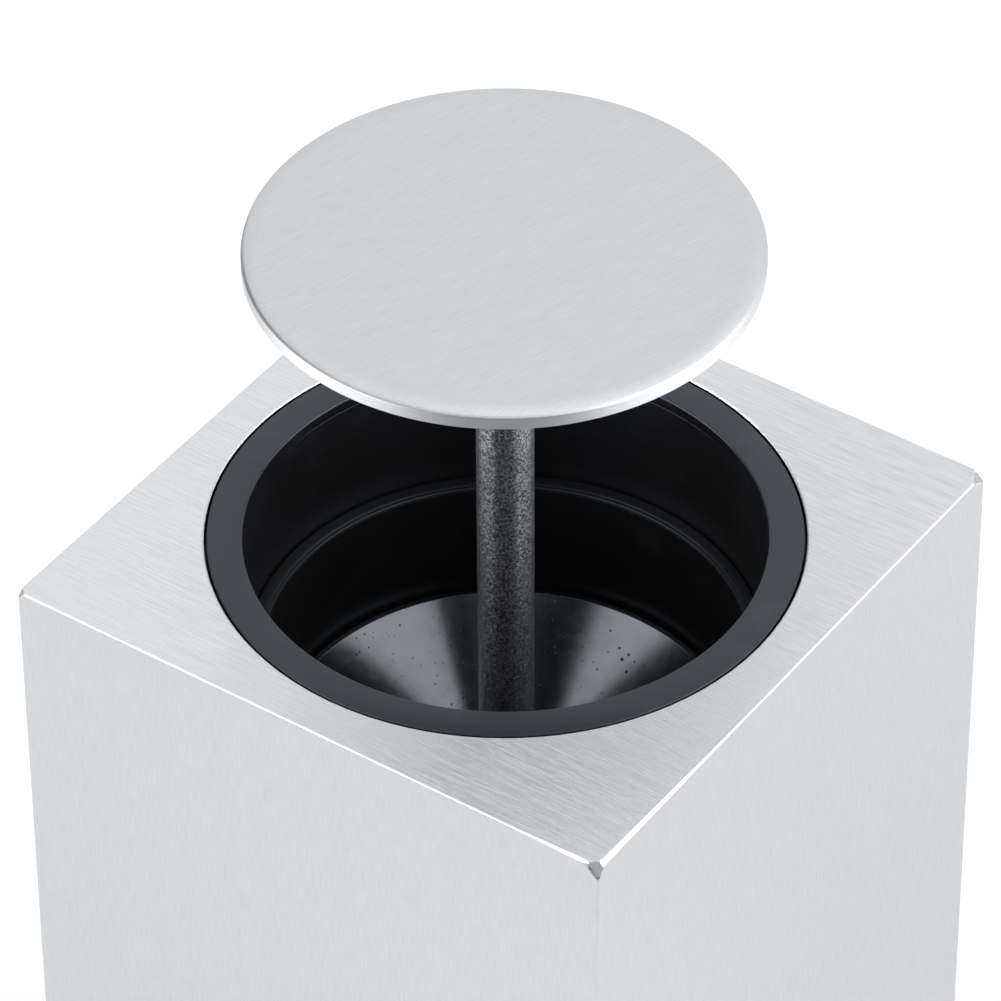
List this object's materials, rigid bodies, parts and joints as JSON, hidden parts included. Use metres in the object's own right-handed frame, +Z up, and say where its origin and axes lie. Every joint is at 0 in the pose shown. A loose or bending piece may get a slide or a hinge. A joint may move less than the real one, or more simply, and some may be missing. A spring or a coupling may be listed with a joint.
{
  "type": "toothpick dispenser",
  "caption": "Square brushed-metal toothpick dispenser: a round lid on a sprung rod rises from a black ring and lifts a cup of picks; pressing it down latches it flush.",
  "frame": {"origin": "centre of the resting face, on the table plane under the feet", "axes": "+Z up along the rod and the lid's travel, X and Y square to the box's sides"},
  "size_m": [0.07, 0.07, 0.1424],
  "materials": {
    "brushed_metal": "brushed, edges bright",
    "black_plastic": "satin moulded",
    "cup_plastic": "glossy moulded, lightly scuffed",
    "rod_coat": "grained black coat",
    "steel": "bright drawn wire and plated screws",
    "rubber": "matte"
  },
  "bodies": {
    "body": {"housing": "brushed_metal", "collar": "black_plastic", "magazine_tube": "black_plastic", "base_plate": "black_plastic", "corner_posts": "brushed_metal", "base_screws": "steel", "rubber_feet": "rubber", "lift_spring": "steel", "pivot_pin": "steel", "pivot_clip": "steel"},
    "plunger": {"lid_disc": "brushed_metal", "lid_stud": "steel", "rod": "rod_coat", "lifter": "cup_plastic", "lifter_washer": "steel", "lifter_screw": "steel", "cam_plate": "black_plastic", "cam_screws": "steel"},
    "follower": {"latch_arm": "steel", "latch_peg": "steel"}
  },
  "joints": [
    {"name": "plunger_slide", "type": "slide", "parent": "body", "child": "plunger", "axis": [0, 0, 1], "range_m": [-0.04, 0], "stiffness_N_per_m": 47, "springref_m": 0.022, "deforming": ["lift_spring"]},
    {"name": "follower_swing", "type": "hinge", "parent": "body", "child": "follower", "pos_m": [0.02272, -0.0265, 0.0069], "axis": [0.7071, -0.7071, 0], "range_deg": [0, 31]}
  ]
}
